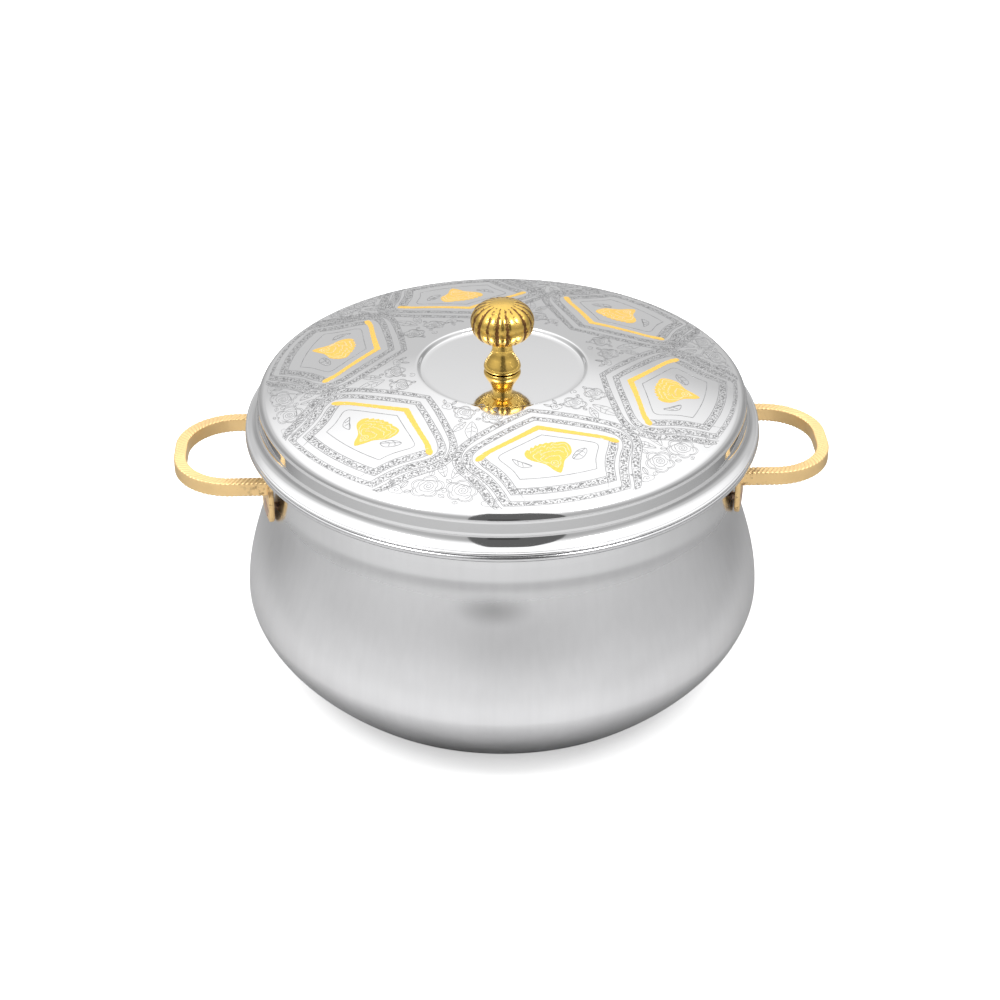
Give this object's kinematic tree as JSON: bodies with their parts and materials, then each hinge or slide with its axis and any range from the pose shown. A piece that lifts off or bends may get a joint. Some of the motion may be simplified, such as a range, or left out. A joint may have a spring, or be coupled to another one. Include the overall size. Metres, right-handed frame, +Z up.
{
  "type": "insulated chapati casserole",
  "caption": "Round-bellied double-walled steel serving pot with brass loop handles and an engraved lift-off lid with a fluted brass knob.",
  "frame": {"origin": "centre of the base, on the surface that the pot stands on", "axes": "+Z up, X along the two handles, -Y towards the front"},
  "size_m": [0.3208, 0.256, 0.1933],
  "materials": {
    "satin_steel": "satin brushed stainless steel",
    "bright_steel": "bright stainless steel",
    "mirror_steel": "mirror-polished steel with etched ornament and gold inlay",
    "handle_brass": "satin cast brass with hatched edges",
    "knob_brass": "polished cast brass with dark patina in the grooves",
    "rivet_brass": "dull reddish brass",
    "foam": "rigid insulating foam"
  },
  "bodies": {
    "pot": {"outer_shell": "satin_steel", "inner_bowl": "bright_steel", "wall_insulation": "foam", "base_plate": "bright_steel", "handle_left": "handle_brass", "handle_right": "handle_brass", "rivet_left_front": "rivet_brass", "rivet_left_back": "rivet_brass", "rivet_right_front": "rivet_brass", "rivet_right_back": "rivet_brass", "rivet_washer_left_front": "bright_steel", "rivet_washer_left_back": "bright_steel", "rivet_washer_right_front": "bright_steel", "rivet_washer_right_back": "bright_steel"},
    "lid": {"lid_cover": "mirror_steel", "lid_liner": "bright_steel", "lid_insulation": "foam", "knob": "knob_brass", "knob_screw": "bright_steel", "knob_washer": "bright_steel"}
  },
  "joints": [
    {"name": "lid_lift", "type": "slide", "parent": "pot", "child": "lid", "axis": [0, 0, 1], "range_m": [0, 0.12]}
  ]
}
